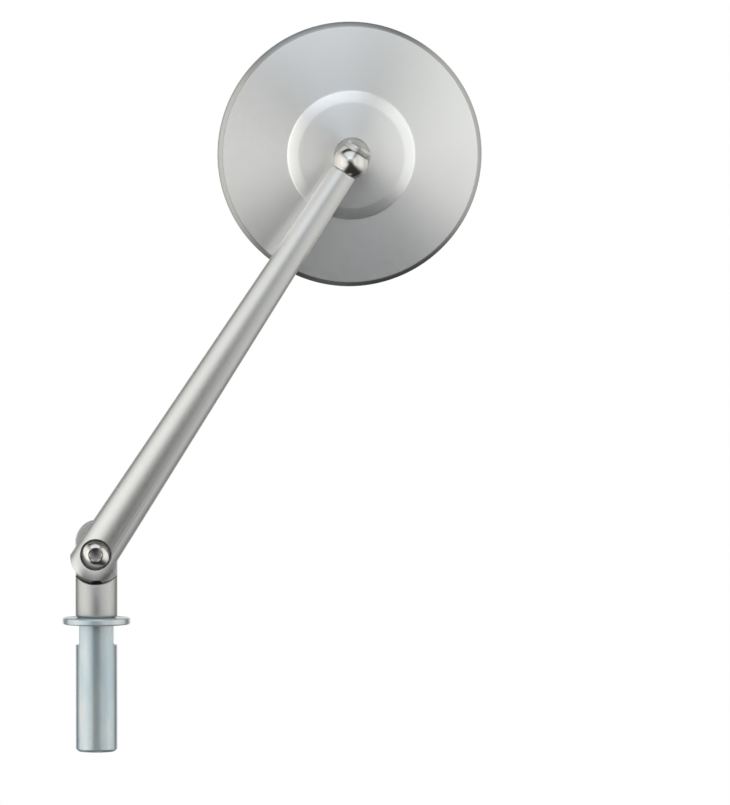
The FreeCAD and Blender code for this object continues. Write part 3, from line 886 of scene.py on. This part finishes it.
@dataclass
class Arm:
    """Tapered arm, half lapped at the hinge."""

    finish: Material
    root: float = 8.25
    tip: float = 5.0
    tip_level: float = 174.4
    tip_break: float = 0.3
    tip_margin: float = 10.0
    spigot: float = 4.15
    spigot_end: float = 176.2
    end_radius: float = 10.0
    lap_radius: float = 13.7
    cutter_reach: float = 14.0
    counterbore: float = 6.0
    counterbore_floor: float = 3.625
    hole: float = 3.05
    hole_sides: int = 64
    edge: float = 0.25
    sides: int = 128

    def build(self) -> None:
        """Turn the taper, round its end, cut the lap and sink the screw's seat."""
        wide, far = self.end_radius, self.tip_level + self.tip_margin
        bar = Work("tapered_arm").draw(
            (0, -wide), (self.root, -wide), (self.root, 0),
            (self.tip, self.tip_level - self.tip_break), (self.tip - self.tip_break, self.tip_level),
            (self.spigot, self.tip_level), (self.spigot, self.spigot_end), (0, self.spigot_end),
        )
        bar.turned(self.sides)
        end = Work("end_form").draw(
            (-wide, 0), (0, -wide, wide, Side.LEFT), (wide, 0, wide, Side.LEFT), (wide, far), (-wide, far),
            (-wide, 0),
        )
        bar.cut(end.plate(-CLEAR, CLEAR), Cut.KEEP)
        reach, low = self.lap_radius, -self.cutter_reach
        lap = Work("lap_cutter").draw(
            (-reach, low), (reach, low), (reach, 0),
            (0, reach, reach, Side.LEFT), (-reach, 0, reach, Side.LEFT), (-reach, low),
        )
        bar.cut(lap.plate(-Layout.half_gap, CLEAR))
        sideways = Layout.turn(90.0, "X")
        sink = rod("counterbore", self.counterbore, self.counterbore_floor, self.cutter_reach)
        bar.cut(sink.place(sideways))
        bar.cut(rod("hinge_drill", self.hole, -CLEAR, CLEAR, self.hole_sides).place(sideways))
        bar.ease(self.edge)
        bar.place(Layout().arm())
        bar.finish("mirror_arm", "arm", Slot.SATIN, self.finish)


@dataclass
class HingeScrew:
    """Polished button-head screw with a hexagon socket."""

    finish: Material
    shank: float = 3.0
    reach: float = 6.6
    tip_ease: float = 0.4
    seat: float = 4.575
    head: float = 5.6
    rim: float = 0.6
    rim_ease: float = 0.15
    top: float = 7.875
    flat: float = 2.9
    flat_ease: float = 0.16
    dome: float = 6.4
    hexagon: float = 4.4
    depth: float = 2.2
    punch_margin: float = 2.0
    sink_depth: float = 0.2
    sink_width: float = 0.15
    sink_margin: float = 0.1
    point_depth: float = 1.2
    point_inset: float = 0.1
    point_margin: float = 0.05
    point_sides: int = 48
    edge: float = 0.06
    sides: int = 96

    def build(self) -> None:
        """Turn the blank, then sink the hexagon with its countersink and drill point."""
        top, half = self.top, self.hexagon / 2
        rim = self.head, self.seat + self.rim
        blank = Work("button_screw").draw(
            (0, -self.reach), (self.shank, -self.reach), (self.shank, self.seat), (self.head, self.seat), rim,
            (self.flat, top, self.dome, Side.LEFT), (0, top),
        )
        blank.soften(self.tip_ease, (self.shank, -self.reach), segments=2)
        blank.soften(self.rim_ease, (self.head, self.seat), rim)
        blank.soften(self.flat_ease, (self.flat, top))
        blank.turned(self.sides)
        corner, floor = self.hexagon / math.sqrt(3), top - self.depth
        blank.cut(rod("hexagon_punch", corner, floor, top + self.punch_margin, 6))
        low, high = top - self.sink_depth, top + self.sink_margin
        sink = Work("countersink").draw(
            (0, low), (half - self.sink_width, low), (half + self.sink_width, high), (0, high),
        )
        blank.cut(sink.turned(self.sides))
        start = floor + self.point_margin
        point = Work("drill_point").draw(
            (0, floor - self.point_depth), (half - self.point_inset, start), (0, start),
        )
        blank.cut(point.turned(self.point_sides))
        blank.ease(self.edge, segments=2)
        blank.place(Layout().hinge())
        blank.finish("hinge_screw", "base", Slot.STEEL, self.finish)


@dataclass
class BallJoint:
    """Polished socket on the arm's tip and the turned stud that it holds."""

    polished: Material
    turned: Material
    ball: float = 6.6
    lower: float = 4.6
    upper: float = 4.35
    bore: float = 4.2
    boss: float = 5.3
    boss_length: float = 2.6
    boss_chamfer: float = 0.6
    groove: float = 0.3
    roof: float = 0.95
    window: float = 3.1
    window_top: float = 5.5
    slot: float = 0.7
    slot_depth: float = 0.5
    cutter_reach: float = 9.0
    cutter_margin: float = 1.0
    lines: tuple = (0.42, 0.80, 1.18)
    line_half: float = 0.07
    line_depth: float = 0.09
    socket_ease: float = 0.12
    stud: float = 2.5
    stud_end: float = -14.55
    stud_ease: float = 0.35
    seat: float = -8.55
    collar: float = 6.95
    collar_top: float = -7.6
    collar_chamfer: float = 0.3
    collar_ease: float = 0.1
    neck: float = 1.6
    stud_ball: float = 3.5
    sides: int = 112

    def build(self) -> None:
        """Make the socket and the stud."""
        self.make_socket()
        self.make_stud()

    def make_socket(self) -> None:
        """Turn the socket with fine lines on its boss, then cut the window and the slot."""
        low = math.sqrt(self.ball ** 2 - self.lower ** 2), -self.lower
        high = math.sqrt(self.ball ** 2 - self.upper ** 2), self.upper
        foot, end = self.upper + self.groove, self.upper + self.boss_length
        shoulder = self.boss, end - self.boss_chamfer
        brink = self.boss - self.boss_chamfer, end
        strokes = [
            low, (*high, self.ball, Side.LEFT), (high[0] - self.groove, self.upper),
            (high[0] - self.groove, foot), (self.boss, foot),
        ]
        for line in self.lines:
            level = foot + line
            strokes += [
                (self.boss, level - self.line_half), (self.boss - self.line_depth, level),
                (self.boss, level + self.line_half),
            ]
        strokes += [
            shoulder, brink, (0, end), (0, end - self.roof), (self.bore, end - self.roof),
            (self.bore, -self.lower),
        ]
        body = Work("ball_socket_body").draw((self.bore, -self.lower), *strokes)
        body.soften(self.socket_ease, (self.boss, foot), shoulder, brink, high, low, segments=2)
        body.turned(self.sides)
        reach, margin = self.cutter_reach, self.cutter_margin
        up = -self.lower - margin, self.window_top
        body.cut(block("window_cutter", (-self.window, self.window), up, (0, reach)))
        up = end - self.slot_depth, end + margin
        body.cut(block("slot_cutter", (-reach, reach), up, (-self.slot, self.slot)))
        body.place(Layout().socket())
        body.finish("ball_socket", "arm", Slot.STEEL, self.polished)

    def make_stud(self) -> None:
        """Turn the stud: thread, collar, neck and ball."""
        top = self.collar_top
        root = -math.sqrt(self.stud_ball ** 2 - self.neck ** 2)
        rim = self.collar, self.seat
        shoulder = self.collar, top - self.collar_chamfer
        brink = self.collar - self.collar_chamfer, top
        stud = Work("collar_stud").draw(
            (0, self.stud_end), (self.stud, self.stud_end), (self.stud, self.seat), rim, shoulder, brink,
            (self.neck, top), (self.neck, root), (0, self.stud_ball, self.stud_ball, Side.LEFT),
        )
        stud.soften(self.collar_ease, rim, shoulder, brink, segments=2)
        stud.soften(self.stud_ease, (self.stud, self.stud_end), segments=2)
        stud.turned(self.sides)
        stud.place(Layout().head())
        stud.finish("ball_stud", "stud", Slot.STEEL, self.turned)


@dataclass
class Head:
    """Round shell with its raised hub, the glass and the seal; depths run from the rim's front."""

    shell: Material
    glass: Material
    rubber: Material
    front: float = -20.4
    radius: float = 50.95
    rim_inside: float = 47.85
    rim_round: float = 0.8
    rim_depth: float = 5.8
    rim_bevel: float = 1.5
    rim_ease: float = 0.3
    mouth_ease: float = 0.22
    back_radius: float = 380.0
    hub: float = 24.6
    hub_base: float = 8.7
    hub_step: float = 0.35
    hub_ease: float = 0.12
    hub_bevel: float = 4.2
    bevel_radius: float = 28.0
    bevel_ease: float = 0.22
    hub_height: float = 10.5
    top_radius: float = 138.0
    seat: float = 7.5
    seat_depth: float = 11.8
    hole: float = 2.55
    hollow: float = 18.0
    hollow_depth: float = 9.6
    wall: float = 2.0
    cavity: float = 44.85
    cavity_depth: float = 3.977
    ledge: float = 3.3
    shell_sides: int = 256
    glass_edge: float = 47.03
    glass_recess: float = 0.8
    glass_thickness: float = 2.0
    glass_radius: float = 1200.0
    glass_ease: float = 0.2
    glass_sides: int = 192
    seal_gap: float = 0.02
    seal_recess: float = 0.45
    seal_inside: float = 47.05
    seal_outside: float = 47.83
    seal_foot: float = 44.45
    seal_back: float = 3.28
    seal_ease: float = 0.18

    def build(self) -> None:
        """Make the shell, the glass and the seal."""
        self.make_shell()
        self.make_glass()
        self.make_seal()

    def seated(self, work: Work) -> Work:
        """Put a piece drawn from the rim's front into its place."""
        return work.place(Layout().head() @ Layout.lift(self.front))

    def make_shell(self) -> None:
        """Turn the shell with eased edges."""
        side = self.radius, self.rim_depth - self.rim_bevel
        brink = self.radius - self.rim_bevel, self.rim_depth
        valley = self.hub, self.hub_base
        step = self.hub, self.hub_base + self.hub_step
        shoulder = self.hub - self.hub_bevel, self.hub_height
        shell = Work("round_shell").draw(
            (self.hole, self.hollow_depth),
            (self.hollow, self.hollow_depth),
            (self.hub, self.hub_base - self.wall),
            (self.cavity, self.cavity_depth),
            (self.cavity, self.ledge),
            (self.rim_inside, self.ledge),
            (self.rim_inside, 0),
            (self.radius - self.rim_round, 0),
            (self.radius, self.rim_round, self.rim_round, Side.LEFT),
            side,
            brink,
            (*valley, self.back_radius, Side.LEFT),
            step,
            (*shoulder, self.bevel_radius, Side.LEFT),
            (self.seat, self.seat_depth, self.top_radius, Side.LEFT),
            (self.hole, self.seat_depth),
            (self.hole, self.hollow_depth),
        )
        shell.soften(self.rim_ease, side, brink)
        shell.soften(self.mouth_ease, (self.rim_inside, 0))
        shell.soften(self.hub_ease, valley, step)
        shell.soften(self.bevel_ease, shoulder)
        shell.turned(self.shell_sides)
        self.seated(shell).finish("mirror_housing", "head", Slot.SATIN, self.shell)

    def make_glass(self) -> None:
        """Turn the bulging glass."""
        edge, front, back = self.glass_edge, self.glass_recess, self.glass_recess + self.glass_thickness
        bulge = self.glass_radius - math.sqrt(self.glass_radius ** 2 - edge ** 2)
        glass = Work("convex_glass").draw(
            (0, front - bulge), (edge, front, self.glass_radius, Side.LEFT), (edge, back),
            (0, back - bulge, self.glass_radius, Side.RIGHT),
        )
        glass.soften(self.glass_ease, (edge, front), (edge, back))
        glass.turned(self.glass_sides)
        self.seated(glass).finish("mirror_glass", "head", Slot.GLASS, self.glass)

    def make_seal(self) -> None:
        """Turn the seal with a rounded lip."""
        foot_top = self.glass_recess + self.glass_thickness + self.seal_gap
        lip = (self.seal_inside, self.seal_recess), (self.seal_outside, self.seal_recess)
        ring = Work("seal_ring").draw(
            (self.seal_foot, foot_top), (self.seal_inside, foot_top), *lip,
            (self.seal_outside, self.seal_back), (self.seal_foot, self.seal_back), (self.seal_foot, foot_top),
        )
        ring.soften(self.seal_ease, *lip)
        ring.turned(self.glass_sides)
        self.seated(ring).finish("glass_seal", "head", Slot.RUBBER, self.rubber)


class Sky(Graph):
    """Nodes of the room, read by direction: its angle off the way to the camera, and round that way."""

    def __init__(self) -> None:
        """Start the world and work out the two angles of a direction, in degrees."""
        super().__init__(bpy.data.worlds.new("studio_room"))
        self.axes = self.node("SeparateXYZ", {"Vector": self.node("TexCoord").outputs["Generated"]})
        towards = self.math("MULTIPLY", self.axes.outputs["Y"], -1.0)
        self.off = self.math("DEGREES", self.math("ARCCOSINE", towards))
        turn = self.math("ARCTAN2", self.axes.outputs["Z"], self.axes.outputs["X"])
        self.round = self.math("DEGREES", turn)

    def math(self, operation: str, *values: Socket | float) -> Socket:
        """One sum of sockets and numbers."""
        return self.node("Math", dict(enumerate(values)), operation=operation).outputs["Value"]

    def background(self, colour: tuple, strength: Socket | float = 1.0) -> Socket:
        """A background of one colour."""
        return self.node("Background", {"Color": (*colour, 1.0), "Strength": strength}).outputs["Background"]

    def add(self, first: Socket, second: Socket) -> Socket:
        """Add two backgrounds."""
        return self.node("AddShader", {0: first, 1: second}).outputs["Shader"]


@dataclass(frozen=True)
class Band:
    """A band of an angle, in degrees: its middle, half of its width, and its fading edge's width."""

    middle: float
    half: float
    feather: float

    def fade(self, sky: Sky, away: Socket) -> Socket:
        """The band's strength, from the angle away from its middle: one inside, fading to nothing."""
        return sky.span(away, (self.half - self.feather, self.half), (1.0, 0.0), Curve.SMOOTHER)


@dataclass(frozen=True)
class Softbox:
    """A soft-edged lamp: its bands round the way to the camera, from the right upwards, and off that way."""

    round: Band
    off: Band
    colour: tuple

    def hang(self, sky: Sky) -> Socket:
        """Put the lamp into the room.

        Args:
            sky: nodes of the room.

        Returns:
            The lamp's light.
        """
        turn = sky.math("WRAP", sky.math("SUBTRACT", sky.round, self.round.middle), HALF_TURN, -HALF_TURN)
        across = self.round.fade(sky, sky.math("ABSOLUTE", turn))
        away = sky.math("ABSOLUTE", sky.math("SUBTRACT", sky.off, self.off.middle))
        return sky.background(self.colour, sky.math("MULTIPLY", across, self.off.fade(sky, away)))


@dataclass(frozen=True, kw_only=True)
class FloorPaint(Finish):
    """Matt pale paint of the floor, which fades out towards its edge."""

    name: str = "studio_floor"
    tone: tuple = (0.82, 0.82, 0.82)
    shade: tuple = (0.80, 0.80, 0.80)
    roughness: tuple = (0.9, 0.9)
    cloud: Grain = Grain(3.0)
    metal: float = 0.0
    radius: float
    full: float = 0.4

    def treat(self, tree: Tree) -> None:
        """Fade the paint out.

        Args:
            tree: nodes of the material.
        """
        place = tree.vector("MULTIPLY", tree.place, (1 / self.radius,) * 3)
        inward = tree.node("TexGradient", {"Vector": place}, gradient_type="SPHERICAL").outputs["Fac"]
        tree.set(Alpha=tree.span(inward, (0.0, self.full), (0.0, 1.0)))


@dataclass
class Studio:
    """Floor, room, lamps and camera of the photograph, in metres apart from the sensor's width."""

    floor_place: tuple = (0.05, 0.0, -0.60)
    floor_radius: float = 0.17
    floor_sides: int = 96
    camera_place: tuple = (0.1030, -2.75, 0.186)
    camera_aim: tuple = (0.1030, 0.0, 0.0929)
    camera_range: float = 50.0
    image_height: int = 805
    millimetres_per_pixel: float = 0.3832
    sensor: float = 36.0
    dim: tuple = (0.045, 0.045, 0.045)
    backdrop: tuple = (0.9, 0.9, 0.9)
    backdrop_edge: tuple = (0.7, 0.95)
    white: tuple = (1.0, 1.0, 1.0)
    # Lamps on the left, on the right and above, brighter cores in the first two, and a fill near the camera.
    lamps: tuple = (
        Softbox(Band(183.0, 62.0, 34.0), Band(68.0, 64.0, 34.0), (1.28, 1.28, 1.24)),
        Softbox(Band(7.0, 60.0, 33.0), Band(70.0, 65.0, 35.0), (1.02, 1.04, 1.01)),
        Softbox(Band(96.0, 45.0, 22.0), Band(50.0, 40.0, 24.0), (1.12, 1.20, 1.28)),
        Softbox(Band(182.0, 40.0, 30.0), Band(60.0, 22.0, 16.0), (0.22, 0.22, 0.21)),
        Softbox(Band(4.0, 40.0, 30.0), Band(74.0, 24.0, 18.0), (0.20, 0.20, 0.19)),
        Softbox(Band(62.0, 104.0, 60.0), Band(20.0, 22.0, 15.0), (0.42, 0.44, 0.45)),
    )

    def build(self) -> None:
        """Set up the whole studio."""
        bpy.context.scene.view_settings.view_transform = "Standard"
        self.room()
        self.floor()
        self.camera()

    def room(self) -> None:
        """Make the world: a dim room with soft lamps and a white backdrop, and plain white to the camera."""
        sky = Sky()
        bpy.context.scene.world = sky.owner
        total = sky.background(self.dim)
        for lamp in self.lamps:
            total = sky.add(total, lamp.hang(sky))
        behind = sky.span(sky.axes.outputs["Y"], self.backdrop_edge, (0.0, 1.0), Curve.SMOOTH)
        rays = sky.node("LightPath").outputs
        seen = sky.math("MAXIMUM", rays["Is Glossy Ray"], rays["Is Transmission Ray"])
        total = sky.add(total, sky.background(self.backdrop, sky.math("MULTIPLY", behind, seen)))
        choice = {"Fac": rays["Is Camera Ray"], 1: total, 2: sky.background(self.white)}
        sky.node("OutputWorld", {"Surface": sky.node("MixShader", choice).outputs["Shader"]})

    def floor(self) -> None:
        """Lay the plain pale floor: a disc that takes the mirror's shadow."""
        bpy.ops.object.select_all(action="DESELECT")
        bpy.ops.mesh.primitive_circle_add(
            vertices=self.floor_sides, radius=self.floor_radius, fill_type="NGON", location=self.floor_place,
        )
        disc = bpy.context.object
        disc.name = "studio_floor"
        disc.data.materials.append(FloorPaint(radius=self.floor_radius).build())

    def camera(self) -> None:
        """Set the camera at the photograph's place."""
        place, aim = Vector(self.camera_place), Vector(self.camera_aim)
        data = bpy.data.cameras.new("photo_camera")
        data.sensor_width = self.sensor
        data.lens = self.sensor * (aim - place).length / (self.image_height * self.millimetres_per_pixel * MM)
        data.clip_end = self.camera_range
        camera = bpy.data.objects.new("photo_camera", data)
        camera.location = place
        camera.rotation_euler = (aim - place).to_track_quat("-Z", "Y").to_euler()
        bpy.context.collection.objects.link(camera)
        bpy.context.scene.camera = camera


def dress_nodes(finishes: dict[Slot, Material]) -> None:
    """Give every carried-over node the finish of its slot.

    Args:
        finishes: materials by slot.
    """
    for part in frame["record"]["subparts"]:
        node = frame["nodes"][part["node"]]
        node.material_slots[0].material = finishes[Slot(part["material_slot"])]
        LOG.info("dressed %s", part["node"])


def main() -> None:
    """Build the scene."""
    logging.basicConfig(level=logging.INFO, format="%(message)s")
    layout = Layout()
    finishes = {
        Slot.SATIN: SatinAluminium().build(),
        Slot.STEEL: PolishedSteel().build(),
        Slot.ZINC: ZincPlate(axis=Matrix.Identity(4)).build(),
        Slot.NYLON: NaturalNylon().build(),
        Slot.GLASS: SilveredGlass().build(),
        Slot.RUBBER: BlackRubber().build(),
    }
    shell = TurnedAluminium(axis=layout.head()).build()
    stud = TurnedSteel(axis=layout.head()).build()
    socket = SocketSteel(axis=layout.socket(), start=BallJoint.upper).build()
    screw = ScrewSteel(axis=layout.hinge(), start=HingeScrew.hexagon / 2).build()
    dress_nodes(finishes)
    Post(finishes[Slot.ZINC]).build()
    Knuckle(ShadedAluminium().build()).build()
    HingeScrew(screw).build()
    Arm(finishes[Slot.SATIN]).build()
    BallJoint(socket, stud).build()
    Head(shell, finishes[Slot.GLASS], finishes[Slot.RUBBER]).build()
    Studio().build()


if __name__ == "__main__":
    main()
